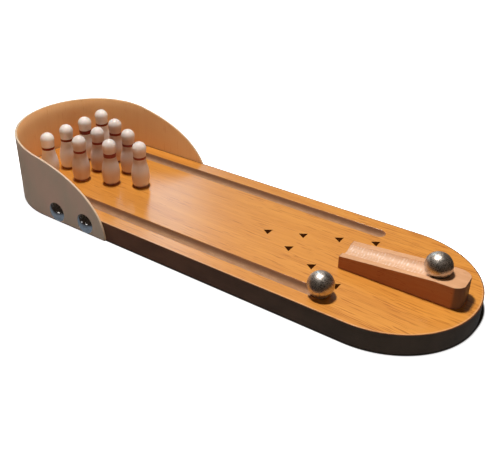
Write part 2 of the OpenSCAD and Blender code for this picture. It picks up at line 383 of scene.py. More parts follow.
fill(wood_figure, result["Colour"], blend_colour(wood_figure, dashes, wood_tone, given["Dash"]))
fill(wood_figure, result["Height"], height)
print("wood figure:", len(wood_figure.nodes), "nodes")

# %% [markdown]
# ## Handling wear
# Polished steel and lacquer both show what hands and hard lanes have done: a fine net of hairline
# scratches, and a faint cloudiness where fingers have been. The group gives a scratch mask and a cloud
# mask, and each material decides how much rougher or darker they make it.

# %% The wear group
SCRATCH_TURNS = ((0.3, 0.9, 0.2), (1.4, 0.2, 0.8), (2.3, 1.1, 1.9))
wear, given, result = start_group(
    "handling wear",
    [("Vector", "Vector", None), ("Scratch Width", "Float", 0.08), ("Cloud Size", "Float", 4.0)],
    [("Scratches", "Float"), ("Clouds", "Float")],
)
thin = calc(wear, "DIVIDE", 1.0, given["Scratch Width"])
lines = []
for turn in SCRATCH_TURNS:
    inputs = {"Vector": given["Vector"], "Rotation": turn}
    turned = add_node(wear, "ShaderNodeVectorRotate", inputs, rotation_type="EULER_XYZ").outputs[0]
    drawn = vector_calc(wear, "MULTIPLY", turned, combine(wear, 0.35, thin, 0.8))
    lines.append(between(wear, noise_at(wear, drawn, detail=1.0), 0.66, 0.74))
scratches = calc(wear, "MAXIMUM", calc(wear, "MAXIMUM", lines[0], lines[1]), lines[2])
clouds = noise_at(wear, given["Vector"], calc(wear, "DIVIDE", 1.0, given["Cloud Size"]), detail=3.0)
fill(wear, result["Scratches"], scratches)
fill(wear, result["Clouds"], between(wear, clouds, 0.35, 0.7))
print("wear:", len(wear.nodes), "nodes")

# %% [markdown]
# ## The varnished lane
# The lane's face is a thin orange-brown veneer with the grain along the board, under a satin varnish. The
# varnish is what makes the pale sheen in front of the pins, so it is a coat of its own, smoother than the
# wood under it. It is rubbed dull in a small ring round the head pin. All round the outline runs a pale
# line about a millimetre wide: partly sanded wood, and partly a painted highlight on the eased edge,
# strongest along the near side. The gutters' lips are painted dark brown, a painted shade along them, and
# have no varnish.

# %% Measure the lane
EDGING_T = 0.5
sheet_low, sheet_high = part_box("lane_veneer")
TOP_Z = sheet_high.z / MM
SHEET_R = (sheet_high.y - sheet_low.y) / 2 / MM
NEAR_X = sheet_high.x / MM - SHEET_R
FAR_X = sheet_low.x / MM + SHEET_R
BOARD_R = SHEET_R + EDGING_T
head_low, head_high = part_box("pin_1")
head_pin_place = (head_low + head_high) / 2 / MM
head_pin_place.z = TOP_Z
print("lane's top in mm:", round(TOP_Z, 2), "round ends from X", round(FAR_X, 2), "to", round(NEAR_X, 2))

# %% Lane material
LANE_GRAIN_TURN = 0.012
GRAIN_DRIFT = 9.0
PALE_EDGE_WIDTH = 1.1
PALE_EDGE_SANDED_AND_LIT = (0.748, 0.409, 0.191, 1)
LIP_SHADE_BROWN = (0.261, 0.109, 0.048, 1)
VARNISH = 0.9

lane_varnish, tree, shader, place = start_material("varnished lane veneer")
axes = split(tree, place)
drift = times(tree, noise_at(tree, stretch(tree, place, 0.010, 0.022, 0.022), detail=0.5), GRAIN_DRIFT)
grain_place = vector_calc(tree, "ADD", turn_about_z(tree, place, LANE_GRAIN_TURN), combine(tree, 0.0, drift))
wood = fill_group(
    tree,
    wood_figure,
    Vector=grain_place,
    Light=(0.722, 0.304, 0.044, 1),
    Dark=(0.609, 0.231, 0.027, 1),
    Dash=(0.470, 0.157, 0.015, 1),
    Band_Width=6.0,
    Thread_Width=0.9,
    Thread_Length=44.0,
    Dash_Width=0.62,
    Dash_Length=16.0,
    Dash_Amount=between(tree, axes["X"], -60.0, 130.0, 0.30, 0.66),
    Sway=1.8,
)
from_middle = from_middle_line(tree, place, NEAR_X, FAR_X)
# A pale line along the outline: sanded wood and a painted highlight, stronger along the near side.
pale_edge = between(tree, from_middle, SHEET_R - PALE_EDGE_WIDTH, SHEET_R - 0.3)
pale_edge = times(tree, pale_edge, between(tree, axes["Y"], -5.0, 30.0, 0.6, 0.15))
lane_colour = blend_colour(tree, pale_edge, wood["Colour"], PALE_EDGE_SANDED_AND_LIT)
flat = between(tree, facing(tree, "Z"), 0.8, 0.99)
# Painted shade: the gutters' lip walls are darkened brown.
within = between(tree, from_middle, SHEET_R - 3.0, SHEET_R - 2.0, 1.0, 0.0)
lip_shade = times(tree, calc(tree, "SUBTRACT", 1.0, flat), within)
lane_colour = blend_colour(tree, lip_shade, lane_colour, LIP_SHADE_BROWN)
from_head_pin = vector_calc(tree, "DISTANCE", place, head_pin_place)
paint(
    tree,
    shader,
    Base_Color=lane_colour,
    Roughness=0.5,
    Specular_IOR_Level=0.3,
    Coat_Weight=times(tree, flat, between(tree, from_head_pin, 6.0, 7.5, 0.0, VARNISH)),
    Coat_Roughness=0.26,
    Coat_IOR=1.5,
    Normal=bump(tree, wood["Height"], 0.010),
)
print("lane material:", len(tree.nodes), "nodes")

# %% [markdown]
# ## The routed core
# A cutter has run through the veneer into fibreboard, and cut fibreboard is fuzzy and dull, pinkish next to
# the orange veneer. Fine specks, a faint streak along the cutter's way and a soft bump do it. The far wall
# of each gutter, which faces the near side and away from the light, is painted dark brown: a painted
# shade.

# %% Core material
FIBRE_DARK = (0.307, 0.158, 0.082, 1)
FIBRE_PALE = (0.493, 0.288, 0.167, 1)
FIBRE_STAIN = (0.372, 0.191, 0.098, 1)
FAR_WALL_SHADE = (0.148, 0.065, 0.033, 1)

routed_core, tree, shader, place = start_material("routed fibreboard")
specks = noise_at(tree, place, 2.6, detail=4.0, roughness=0.7)
drag = noise_at(tree, stretch(tree, place, 0.25, 1.4, 1.4), detail=2.0)
fuzz = calc(tree, "MULTIPLY_ADD", drag, 0.5, times(tree, specks, 0.7))
fibre = blend_colour(tree, between(tree, fuzz, 0.35, 0.85), FIBRE_DARK, FIBRE_PALE)
stain_and_shade = between(tree, noise_at(tree, place, 0.16, detail=2.0), 0.4, 0.75)
fibre = blend_colour(tree, stain_and_shade, fibre, FIBRE_STAIN)
# Painted shade: the walls that face the near side are darkened.
fibre = blend_colour(tree, between(tree, facing(tree, "Y"), -0.75, -0.1, 0.8, 0.0), fibre, FAR_WALL_SHADE)
paint(
    tree,
    shader,
    Base_Color=fibre,
    Roughness=0.9,
    Specular_IOR_Level=0.2,
    Sheen_Weight=0.04,
    Normal=bump(tree, fuzz, 0.12),
)
print("core material:", len(tree.nodes), "nodes")

# %% [markdown]
# ## Edging and arrows
# The strip round the board is dark brown by the backstop and nearly black at the near end, with a dull skin
# that has picked up faint marks. Its top was sanded flush with the lane, and there its brown is warmer. The
# arrows are dark paint on the veneer, a little uneven where the grain shows through.

# %% Edging and arrow materials
EDGING_TOP = (0.131, 0.039, 0.010, 1)

dark_edging, tree, shader, place = start_material("dark edging strip")
marks = fill_group(tree, wear, Vector=place, Scratch_Width=0.2, Cloud_Size=14.0)
strip_lines = noise_at(tree, stretch(tree, place, 0.05, 0.05, 3.0), detail=2.0)
strip_tone = calc(tree, "MULTIPLY_ADD", strip_lines, 0.6, times(tree, marks["Clouds"], 0.4))
reddish = blend_colour(tree, strip_tone, (0.100, 0.046, 0.028, 1), (0.175, 0.082, 0.050, 1))
blackish = blend_colour(tree, strip_tone, (0.045, 0.038, 0.032, 1), (0.079, 0.063, 0.052, 1))
strip_colour = blend_colour(tree, between(tree, split(tree, place)["X"], -60.0, 130.0), reddish, blackish)
strip_colour = blend_colour(tree, between(tree, facing(tree, "Z"), 0.5, 0.9), strip_colour, EDGING_TOP)
paint(
    tree,
    shader,
    Base_Color=strip_colour,
    Roughness=calc(tree, "MULTIPLY_ADD", marks["Scratches"], 0.15, 0.55),
    Specular_IOR_Level=0.25,
    Normal=bump(tree, strip_lines, 0.03),
)

arrow_paint, tree, shader, place = start_material("arrow paint")
patches = noise_at(tree, stretch(tree, place, 0.4, 2.4, 1.0), detail=3.0)
worn = between(tree, patches, 0.35, 0.8)
arrow_colour = blend_colour(tree, worn, (0.026, 0.007, 0.001, 1), (0.048, 0.013, 0.002, 1))
paint(tree, shader, Base_Color=arrow_colour, Roughness=0.9, Specular_IOR_Level=0.0)
paint(tree, shader, Normal=bump(tree, patches, 0.02))
print("edging and arrows ready")

# %% [markdown]
# ## The bent backstop
# One strip of thin wood, and three looks: a cool grey-beige outside, a warm smooth inside and a pale cut
# rim. The inside's warm orange is painted light, the warm glow that the lane throws into the bay, and the
# rim's pale is partly the cut wood and partly a painted highlight from the lamp above. The strip's middle
# line is a half circle with two straight ends. So the side of a point is told by its surface's direction:
# away from the middle line's axis is outside, towards it is inside, and the rim faces neither way. Its
# lowest edge is painted dark, a painted contact shadow where it meets the table.

# %% Backstop material
RIM_PALE_AND_LIT = (0.748, 0.592, 0.444, 1)
OUTSIDE_PINK = (0.621, 0.486, 0.450, 1)
OUTSIDE_GREY = (0.522, 0.468, 0.427, 1)
FOOT_SHADOW_LINE = (0.06, 0.035, 0.022, 1)

bent_wood, tree, shader, place = start_material("bent wooden strip")
axes = split(tree, place)
behind = calc(tree, "MINIMUM", calc(tree, "SUBTRACT", axes["X"], FAR_X), 0.0)
from_axis = vector_calc(tree, "NORMALIZE", combine(tree, behind, axes["Y"]))
outward = vector_calc(tree, "DOT_PRODUCT", from_axis, own_normal(tree))
# Painted light: the inside gets a warmer, brighter wood than the outside.
inside_wood_lit = fill_group(
    tree,
    wood_figure,
    Vector=combine(tree, axes["Z"], axes["X"], axes["Y"]),
    Light=(0.98, 0.66, 0.35, 1),
    Dark=(0.94, 0.60, 0.30, 1),
    Dash=(0.86, 0.51, 0.24, 1),
    Band_Width=14.0,
    Thread_Width=1.0,
    Thread_Length=40.0,
    Dash_Width=0.8,
    Dash_Length=8.0,
    Dash_Amount=0.2,
    Sway=1.0,
)
outside_mottle = noise_at(tree, stretch(tree, place, 0.05, 0.05, 0.02), detail=4.0)
outside = blend_colour(tree, between(tree, outside_mottle, 0.3, 0.7), OUTSIDE_PINK, OUTSIDE_GREY)
# The rim's pale: cut wood, and a painted highlight from the lamp above.
coloured = blend_colour(tree, between(tree, outward, -0.95, -0.75), inside_wood_lit["Colour"], RIM_PALE_AND_LIT)
coloured = blend_colour(tree, between(tree, outward, 0.55, 0.80), coloured, outside)
# Painted contact shadow along the lowest edge.
coloured = blend_colour(tree, between(tree, axes["Z"], 0.2, 0.9, 0.9, 0.0), coloured, FOOT_SHADOW_LINE)
paint(
    tree,
    shader,
    Base_Color=coloured,
    Roughness=0.55,
    Specular_IOR_Level=0.35,
    Normal=bump(tree, outside_mottle, 0.05),
)
print("backstop material:", len(tree.nodes), "nodes")

# %% [markdown]
# ## The ramp's bare wood
# The ramp is a short block of reddish wood, sanded but not varnished. Its top looks pale pink, and its
# sides are painted a deeper, darker red: a painted shade, since the sides face away from the light. The
# fibres run along the block, so at the rear corners they are cut across, and cut fibres drink light: the
# round corners are much darker. The material finds them by the surface's own direction, which belongs to
# the piece and turns with it. The groove is found by its place on the ramp. It is painted paler, a painted
# sheen, and the cutter's chatter across it is painted as rows of pale glints.

# %% Where a point is on the ramp
RAMP_L = 66.0
RAMP_CORNER_R = 6.0
CORNER_START = RAMP_L - RAMP_CORNER_R
swivel = next(j for j in frame["joints"] if j["name"] == "ramp_swivel")
rolling = next(j for j in frame["joints"] if j["name"] == "ramp_ball_roll")["axis"]
ramp_turn = math.atan2(-rolling[1], -rolling[0])
pivot = tuple(v / MM for v in swivel["pos_m"])

ramp_wood, tree, shader, place = start_material("ramp wood")
on_ramp = turn_about_z(tree, vector_calc(tree, "SUBTRACT", place, pivot), -ramp_turn)
axes = split(tree, on_ramp)
print("ramp turned by degrees:", round(math.degrees(ramp_turn), 2))

# %% Ramp material
GROOVE_HALF_FRONT = 5.3
GROOVE_HALF_GROWTH = 0.02
CHATTER_PITCH = 1.7
SIDE_SHADE_RED = (0.55, 0.32, 0.18, 1)
GROOVE_SHEEN = (0.740, 0.482, 0.327, 1)
CHATTER_GLINT = (0.836, 0.695, 0.598, 1)

wood = fill_group(
    tree,
    wood_figure,
    Vector=on_ramp,
    Light=(0.669, 0.378, 0.211, 1),
    Dark=(0.581, 0.299, 0.150, 1),
    Dash=(0.440, 0.194, 0.084, 1),
    Band_Width=6.0,
    Thread_Width=0.5,
    Thread_Length=16.0,
    Dash_Width=0.45,
    Dash_Length=3.5,
    Dash_Amount=0.3,
    Sway=0.8,
)
facing_up = between(tree, facing(tree, "Z"), 0.3, 0.8)
# Painted shade: faces that don't face up are darkened to a deeper red.
side_shade = blend_colour(tree, facing_up, SIDE_SHADE_RED, WHITE)
coloured = blend_colour(tree, 1.0, wood["Colour"], side_shade, how="MULTIPLY")
cut_pores = noise_at(tree, stretch(tree, place, 1.0, 3.2, 3.2), detail=3.0)
end_grain = blend_colour(tree, cut_pores, (0.111, 0.046, 0.022, 1), (0.178, 0.078, 0.037, 1))
facing_end = calc(tree, "ABSOLUTE", facing(tree, "X"))
coloured = blend_colour(tree, between(tree, facing_end, 0.12, 0.42), coloured, end_grain)
groove_start = GROOVE_HALF_FRONT + CORNER_START * GROOVE_HALF_GROWTH
groove_half_here = calc(tree, "MULTIPLY_ADD", axes["X"], GROOVE_HALF_GROWTH, groove_start)
beyond_lip = calc(tree, "SUBTRACT", calc(tree, "ABSOLUTE", axes["Y"]), groove_half_here)
in_groove = times(tree, between(tree, beyond_lip, -0.5, 0.0, 1.0, 0.0), facing_up)
in_groove = times(tree, in_groove, between(tree, axes["X"], -8.0, -6.0, 1.0, 0.0))
wander = noise_at(tree, stretch(tree, on_ramp, 0.20, 0.22, 0.2), detail=1.0)
marks = calc(tree, "MULTIPLY_ADD", axes["X"], math.tau / CHATTER_PITCH, times(tree, wander, 9.0))
marks = between(tree, calc(tree, "SINE", marks), -0.1, 0.8)
glint_patches = between(tree, noise_at(tree, stretch(tree, on_ramp, 0.35, 0.55, 0.5), detail=3.0), 0.42, 0.62)
chatter_glints = times(tree, times(tree, marks, glint_patches), in_groove)
# Painted sheen over the groove, and painted glints along the chatter marks.
coloured = blend_colour(tree, times(tree, in_groove, 0.65), coloured, GROOVE_SHEEN)
coloured = blend_colour(tree, times(tree, chatter_glints, 0.55), coloured, CHATTER_GLINT)
paint(
    tree,
    shader,
    Base_Color=coloured,
    Roughness=calc(tree, "MULTIPLY_ADD", chatter_glints, -0.12, 0.46),
    Specular_IOR_Level=0.3,
    Normal=bump(tree, wood["Height"], 0.02),
)
print("ramp material:", len(tree.nodes), "nodes")

# %% [markdown]
# ## Steel
# The balls are bright steel that has rolled down many lanes, and the tacks are the same metal, stamped. A
# mirror with nothing on it would look like a drop of mercury. Worn steel is partly smooth and partly dull,
# in patches too small to see, so its highlight has a small bright core in a wide soft halo. Hairlines and
# clouds vary it further.

# %% Steel materials
CLOUDED = 0.78


def steel(name, base, smooth, rough, cloud_size):
    """Worn steel with hairlines, clouds and fine dull patches in its roughness."""
    material, tree, shader, place = start_material(name)
    marks = fill_group(tree, wear, Vector=place, Scratch_Width=0.05, Cloud_Size=cloud_size)
    dull = between(tree, noise_at(tree, place, 2.6, detail=4.0, roughness=0.7), 0.43, 0.62)
    cloudy = calc(tree, "MULTIPLY_ADD", dull, rough - smooth, smooth)
    clouded = [v * CLOUDED for v in base]
    paint(
        tree,
        shader,
        Base_Color=blend_colour(tree, marks["Clouds"], (*base, 1), (*clouded, 1)),
        Metallic=1.0,
        Roughness=calc(tree, "MULTIPLY_ADD", marks["Scratches"], 0.12, cloudy),
        Normal=bump(tree, marks["Scratches"], -0.004),
    )
    return material


ball_steel = steel("ball steel", (0.63, 0.575, 0.53), 0.25, 0.50, 2.2)
tack_steel = steel("tack steel", (0.70, 0.72, 0.75), 0.08, 0.14, 3.0)
print("steels:", ball_steel.name, "and", tack_steel.name)

# %% [markdown]
# ## Pins and their bands
# A pin is turned wood dipped in white lacquer, thick enough to hide the wood but not the lathe's faint
# rings. A little light passes into the lacquer, which softens the edge between light and shade. The white
# has painted shade: it is warmer and darker below the crown of the head, round the neck, and low on the
# belly, where the pins shade each other and the lane throws warm light up. The pins of the rear row are
# painted whiter, a painted light. Round the foot the lacquer is painted dark, a painted contact shadow.
# The bands are brushed on by hand in dark red.

# %% Pin material
LACQUER = (0.830, 0.775, 0.775, 1)
LACQUER_CLOUDED = (0.770, 0.705, 0.695, 1)
LACQUER_SCRATCHED = (0.539, 0.452, 0.400, 1)
REAR_ROW_LIGHT = (0.950, 0.905, 0.890, 1)
UNDER_HEAD_SHADE = (0.690, 0.580, 0.550, 1)
LOW_BELLY_SHADE = (0.640, 0.415, 0.285, 1)
NECK_SHADE = (0.520, 0.330, 0.250, 1)
FOOT_SHADOW_BROWN = (0.174, 0.039, 0.010, 1)

pin_lacquer, tree, shader, place = start_material("white pin lacquer")
axes = split(tree, place)
rings = noise_at(tree, stretch(tree, place, 0.02, 0.02, 2.2), detail=2.0)
marks = fill_group(tree, wear, Vector=place, Scratch_Width=0.12, Cloud_Size=7.0)
white = blend_colour(tree, marks["Clouds"], LACQUER, LACQUER_CLOUDED)
white = blend_colour(tree, times(tree, marks["Scratches"], 0.25), white, LACQUER_SCRATCHED)
# Painted light: the rear row is made whiter.
front_rows = between(tree, axes["X"], -128.0, -98.0)
white = blend_colour(tree, front_rows, REAR_ROW_LIGHT, white)
over_lane = calc(tree, "SUBTRACT", axes["Z"], TOP_Z)
neck_up = between(tree, over_lane, 15.0, 18.5, 0.0, 0.9)
# Painted shade: warm, darker bands under the head, round the neck and low on the belly.
warm_shades = (
    (between(tree, over_lane, 26.5, 29.5, 0.9, 0.0), UNDER_HEAD_SHADE),
    (between(tree, over_lane, 6.0, 14.0, 0.95, 0.0), LOW_BELLY_SHADE),
    (times(tree, neck_up, between(tree, over_lane, 24.0, 28.5, 1.0, 0.0)), NECK_SHADE),
)
for where, stain_and_shade in warm_shades:
    white = blend_colour(tree, times(tree, where, front_rows), white, stain_and_shade)
# Painted contact shadow round the foot.
foot_shadow = between(tree, over_lane, 0.8, 2.2, 0.85, 0.0)
white = blend_colour(tree, foot_shadow, white, FOOT_SHADOW_BROWN)
paint(
    tree,
    shader,
    Base_Color=white,
    Roughness=calc(tree, "MULTIPLY_ADD", marks["Clouds"], 0.08, calc(tree, "MULTIPLY_ADD", foot_shadow, 0.5, 0.3)),
    Specular_IOR_Level=0.5,
    Subsurface_Weight=0.12,
    Subsurface_Radius=(1.2, 0.7, 0.5),
    Subsurface_Scale=MM,
    Normal=bump(tree, rings, 0.02),
)
print("pin lacquer:", len(tree.nodes), "nodes")

# %% Band material
band_red, tree, shader, place = start_material("dark red band paint")
brush = noise_at(tree, stretch(tree, place, 0.3, 0.3, 5.0), detail=3.0)
red = blend_colour(tree, between(tree, brush, 0.3, 0.75), (0.148, 0.010, 0.005, 1), (0.261, 0.019, 0.009, 1))
paint(tree, shader, Base_Color=red, Roughness=0.35, Specular_IOR_Level=0.5, Normal=bump(tree, brush, 0.02))
print("materials:", len(bpy.data.materials))

# %% [markdown]
# ## Helpers for meshes
# The finer meshes are built straight from their outlines, in millimetres. A piece takes its CAD node's place
# and rides on the same body. Edges that meet at more than thirty degrees stay sharp, and the rest shade
# smoothly. Most meshes are rows of points, each joined to the next by faces, round a pin as well as along the
# backstop.

# %% Mesh helpers
SHARP = math.radians(30)
IN_MM = Matrix.Scale(MM, 4)
TURNS = 96


def finish_piece(name, bm, material, body, nodes, place=IN_MM, weighted=False):
    """Turns a bmesh into a piece that stands for CAD nodes and rides on their body."""
    bmesh.ops.transform(bm, matrix=place, verts=bm.verts)
    bmesh.ops.recalc_face_normals(bm, faces=bm.faces)
    mesh = bpy.data.meshes.new(name)
    bm.to_mesh(mesh)
    bm.free()
    mesh.materials.append(material)
    mesh.polygons.foreach_set("use_smooth", [True] * len(mesh.polygons))
    mesh.set_sharp_from_angle(angle=SHARP)
    piece = bpy.data.objects.new(name, mesh)
    scene.collection.objects.link(piece)
    if weighted:
        levelled = piece.modifiers.new("level the flat faces", "WEIGHTED_NORMAL")
        levelled.keep_sharp = True
    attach(piece, body)
    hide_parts(*nodes)
    return piece


def arc_points(x, z, radius, start, end, steps):
    """Points on an arc, with angles in degrees."""
    angles = [math.radians(start + (end - start) * i / steps) for i in range(steps + 1)]
    return [(x + radius * math.cos(a), z + radius * math.sin(a)) for a in angles]


def skin(bm, rows, closed=True):
    """Faces between each row of points and the next. A row of one point is a pole."""
    for low, high in zip(rows, rows[1:]):
        count = max(len(low), len(high))
        for i in range(count if closed else count - 1):
            k = i + 1
            corners = (low[i % len(low)], low[k % len(low)], high[k % len(high)], high[i % len(high)])
            bm.faces.new(list(dict.fromkeys(corners)))


def lathe(profile, turns=TURNS):
    """A closed solid turned about Z from (radius, height) points that start and end on the axis."""
    bm = bmesh.new()
    rings = []
    for radius, height in profile:
        angles = [math.tau * i / turns for i in range(turns)] if radius > 1e-9 else [0.0]
        rings.append([bm.verts.new((radius * math.cos(a), radius * math.sin(a), height)) for a in angles])
    skin(bm, rings)
    return bm


print("mesh helpers ready")

# %% [markdown]
# ## The pins
# The profile is five arcs that run into each other: foot, shoulder, neck, throat and head. The lathe's
# points are close together, so that the highlight on each head is smooth. The paint ring lies in a shallow
# turned bed, and laps a hair over the bed's edges, with a slightly wavering hand.

# %% Pin profile
PIN_HEAD_R = 4.6
PIN_NECK_R = 4.15
PIN_NECK_Z = 20.3
PIN_BELLY_R = 6.0
PIN_BELLY_Z = 7.5
PIN_SHOULDER_ARC = 26.0
PIN_FOOT_R = 4.9
PIN_EASE = 0.8
BAND_Z = 20.8
BAND_BED = 0.2
pin_low, pin_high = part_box("pin_1")
PIN_H = (pin_high.z - pin_low.z) / MM

head_z = PIN_H - PIN_HEAD_R
waist = PIN_BELLY_R - PIN_NECK_R
taper = PIN_BELLY_R - PIN_FOOT_R
foot_arc = ((PIN_BELLY_Z - PIN_EASE) ** 2 + taper**2) / (2 * taper)
neck_arc = ((PIN_NECK_Z - PIN_BELLY_Z) ** 2 + waist**2) / (2 * waist) - PIN_SHOULDER_ARC
throat_arc = ((head_z - PIN_NECK_Z) ** 2 / (PIN_HEAD_R - PIN_NECK_R) - (PIN_HEAD_R + PIN_NECK_R)) / 2
shoulder_axis = PIN_BELLY_R - PIN_SHOULDER_ARC
neck_axis = PIN_NECK_R + neck_arc
throat_axis = PIN_NECK_R + throat_arc
foot_angle = math.degrees(math.asin((PIN_EASE - PIN_BELLY_Z) / foot_arc))
shoulder_angle = math.degrees(math.atan2(PIN_NECK_Z - PIN_BELLY_Z, neck_axis - shoulder_axis))
head_angle = math.degrees(math.atan2(PIN_NECK_Z - head_z, throat_axis))


def neck_radius(z):
    """The pin's radius at a height near its neck."""
    radius = neck_arc if z < PIN_NECK_Z else throat_arc
    return PIN_NECK_R + radius - math.sqrt(radius**2 - (z - PIN_NECK_Z) ** 2)


band_bed_r = neck_radius(BAND_Z) - BAND_BED


def pin_profile(band_height):
    """The pin from the middle of its foot to the top of its head, with the bed for its band."""
    side = arc_points(PIN_BELLY_R - foot_arc, PIN_BELLY_Z, foot_arc, foot_angle, 0, 14)
    side += arc_points(shoulder_axis, PIN_BELLY_Z, PIN_SHOULDER_ARC, 0, shoulder_angle, 22)[1:]
    side += arc_points(neck_axis, PIN_NECK_Z, neck_arc, 180 + shoulder_angle, 180, 16)[1:]
    side += arc_points(throat_axis, PIN_NECK_Z, throat_arc, 180, 180 + head_angle, 16)[1:]
    head = arc_points(0, head_z, PIN_HEAD_R, head_angle, 90, 30)
    low, high = BAND_Z - band_height / 2, BAND_Z + band_height / 2
    below = [p for p in side if p[1] < low]
    above = [p for p in side if p[1] > high]
    groove = [(neck_radius(low), low), (band_bed_r, low), (band_bed_r, high), (neck_radius(high), high)]
    foot = arc_points(PIN_FOOT_R - PIN_EASE, PIN_EASE, PIN_EASE, -90, -8, 6)
    head[-1] = (0.0, PIN_H)
    return [(0.0, 0.0)] + foot + below + groove + above[:-1] + head


print("pin arcs in mm:", [round(r, 2) for r in (foot_arc, PIN_SHOULDER_ARC, neck_arc, throat_arc)])

# %% Brush on a band
BAND_LAP = 0.06
BAND_FILM = 0.05
BAND_TUCK = 0.02
BED_GAP = 0.05
BAND_SLANT = {6: 0.28, 3: 0.18, 7: 0.15}
BAND_SLANT_ELSE = 0.06
BAND_CROWN = ((0.0, 0.35), (0.06, 0.8), (0.18, 1.0), (0.5, 1.0), (0.82, 1.0), (0.94, 0.8), (1.0, 0.35))


def band_ring(band_height, seed):
    """A thin closed ring of paint whose edges waver, and on some pins slant a little."""
    bm = bmesh.new()
    low, high = BAND_Z - band_height / 2, BAND_Z + band_height / 2
    columns = []
    for i in range(TURNS):
        a = math.tau * i / TURNS
        spot = Vector((math.cos(a) * 1.3, math.sin(a) * 1.3, seed * 7.0))
        slant = BAND_SLANT.get(seed, BAND_SLANT_ELSE) * math.sin(a + seed * 1.9)
        lower = low - BAND_LAP * (1.0 + noise.noise(spot)) + min(0.0, slant)
        upper = high + BAND_LAP * (1.0 + noise.noise(spot + Vector((0, 0, 3.0)))) + max(0.0, slant)
        column = [(band_bed_r, low + BED_GAP), (neck_radius(lower) - BAND_TUCK, lower)]
        for share, rise in BAND_CROWN:
            z = lower + (upper - lower) * share
            column.append((neck_radius(z) + BAND_FILM * rise, z))
        column += [(neck_radius(upper) - BAND_TUCK, upper), (band_bed_r, high - BED_GAP)]
        columns.append([bm.verts.new((r * math.cos(a), r * math.sin(a), z)) for r, z in column])
    skin(bm, columns + columns[:1])
    return bm


print("points across a band:", len(BAND_CROWN) + 4)

# %% Set up the ten pins
PIN_TURN = 2.4

for number in range(1, 11):
    name = f"pin_{number}"
    low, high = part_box(name)
    band_low, band_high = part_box(name + "_band")
    band_height = (band_high.z - band_low.z) / MM
    foot = Vector(((low.x + high.x) / 2, (low.y + high.y) / 2, low.z))
    placed = Matrix.Translation(foot) @ Matrix.Rotation(number * PIN_TURN, 4, "Z") @ IN_MM
    bm = lathe(pin_profile(band_height))
    finish_piece("turned_" + name, bm, pin_lacquer, name, [name], placed)
    bm = band_ring(band_height, number)
    finish_piece(f"red_band_{number}", bm, band_red, name, [name + "_band"], placed)
print("pins turned: 10")

# %% [markdown]
# ## The balls
# A steel ball is a perfect sphere with small nicks in it. A nick is a shallow dish a few thousandths of a
# millimetre deep, far too small to see as a shape. What shows is the speck of light that it throws, so the
# mesh has to be fine enough to hold it.

# %% Make the two balls
NICKS = 34
NICK_DEPTH = 0.008


def nicked_ball(radius, seed):
    """A fine ball about the origin with seeded shallow nicks, in millimetres."""
    draw = random.Random(seed)
    nicks = []
    for _ in range(NICKS):
        direction = Vector((draw.gauss(0, 1), draw.gauss(0, 1), draw.gauss(0, 1))).normalized()
        nicks.append((direction, math.radians(draw.uniform(1.2, 3.6)), draw.uniform(0.3, 1.0)))
    bm = bmesh.new()
    bmesh.ops.create_icosphere(bm, subdivisions=6, radius=1.0)
    for vert in bm.verts:
        way = vert.co.normalized()
        dent = 0.0
        for direction, width, depth in nicks:
            apart = math.acos(max(-1.0, min(1.0, way.dot(direction))))
            if apart < width:
                dent = max(dent, depth * (1 - (apart / width) ** 2) ** 2)
        vert.co = way * (radius - dent * NICK_DEPTH)
    return bm


for node, seed in (("gutter_ball", 3), ("ramp_ball", 8)):
    low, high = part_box(node)
    bm = nicked_ball((high.z - low.z) / 2 / MM, seed)
    placed = Matrix.Translation((low + high) / 2) @ IN_MM
    finish_piece("steel_" + node, bm, ball_steel, node, [node], placed)
print("balls made: 2, with", NICKS, "nicks each")

# %% [markdown]
# ## The tacks
# Each backstop foot is held by two dome-headed tacks. The dome is a slice of a ball that meets the strip
# with a clean edge, and the shank goes on into the board, out of sight.

# %% Make the four tacks
TACK_HEAD_R = 6.55
TACK_DOME = 2.2
TACK_D = 2.4
TACK_L = 14.0
TACK_POINT = 3.0
TACK_TIP_D = 0.4
TACK_UP = 6.6
TACK_FIRST = 12.5
TACK_PITCH = 24.5
STRIP_T = 1.4
STRIP_GAP = 0.05
STRIP_OUT_R = BOARD_R + STRIP_GAP + STRIP_T

dome_r = (TACK_HEAD_R**2 + TACK_DOME**2) / (2 * TACK_DOME)
dome_edge = math.degrees(math.acos(TACK_HEAD_R / dome_r))
dome = arc_points(0, TACK_DOME - dome_r, dome_r, 90, dome_edge, 24)
dome[0] = (0.0, TACK_DOME)
shank = [(TACK_D / 2, 0.0), (TACK_D / 2, TACK_POINT - TACK_L), (TACK_TIP_D / 2, -TACK_L), (0.0, -TACK_L)]
all_tacks = bmesh.new()
for side in (-1, 1):
    for i in (0, 1):
        one = lathe(dome + shank, 64)
        spot = Vector((FAR_X + TACK_FIRST + i * TACK_PITCH, side * STRIP_OUT_R, TACK_UP))
        placed = Matrix.Translation(spot) @ Matrix.Rotation(-side * math.pi / 2, 4, "X")
        bmesh.ops.transform(one, matrix=placed, verts=one.verts)
        held = bpy.data.meshes.new("one tack")
        one.to_mesh(held)
        one.free()
        all_tacks.from_mesh(held)
        bpy.data.meshes.remove(held)
finish_piece("domed_tacks", all_tacks, tack_steel, "game_board", ["backstop_tacks"])
print("tacks made: 4, dome radius in mm:", round(dome_r, 2))

# %% [markdown]
# ## The veneer sheet
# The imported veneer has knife-sharp edges, and no real edge is that sharp: sandpaper has eased the outline
# and the lips of the gutters, and that thin rounding is what catches the light along the near side. So the
# sheet is drawn again from loops, with the face filled between them and small steps down round each loop.
# The arrows' pockets are loops too.

# %% Loops for the veneer
VENEER_T = 0.6
GUTTER_W = 8.3
GUTTER_DEPTH = 2.6
GUTTER_INSET = 13.6
GUTTER_NEAR = 20.3
GUTTER_FAR = 12.5
OUTLINE_STEPS = 96
GUTTER_STEPS = 24
EASE_STEPS = 4

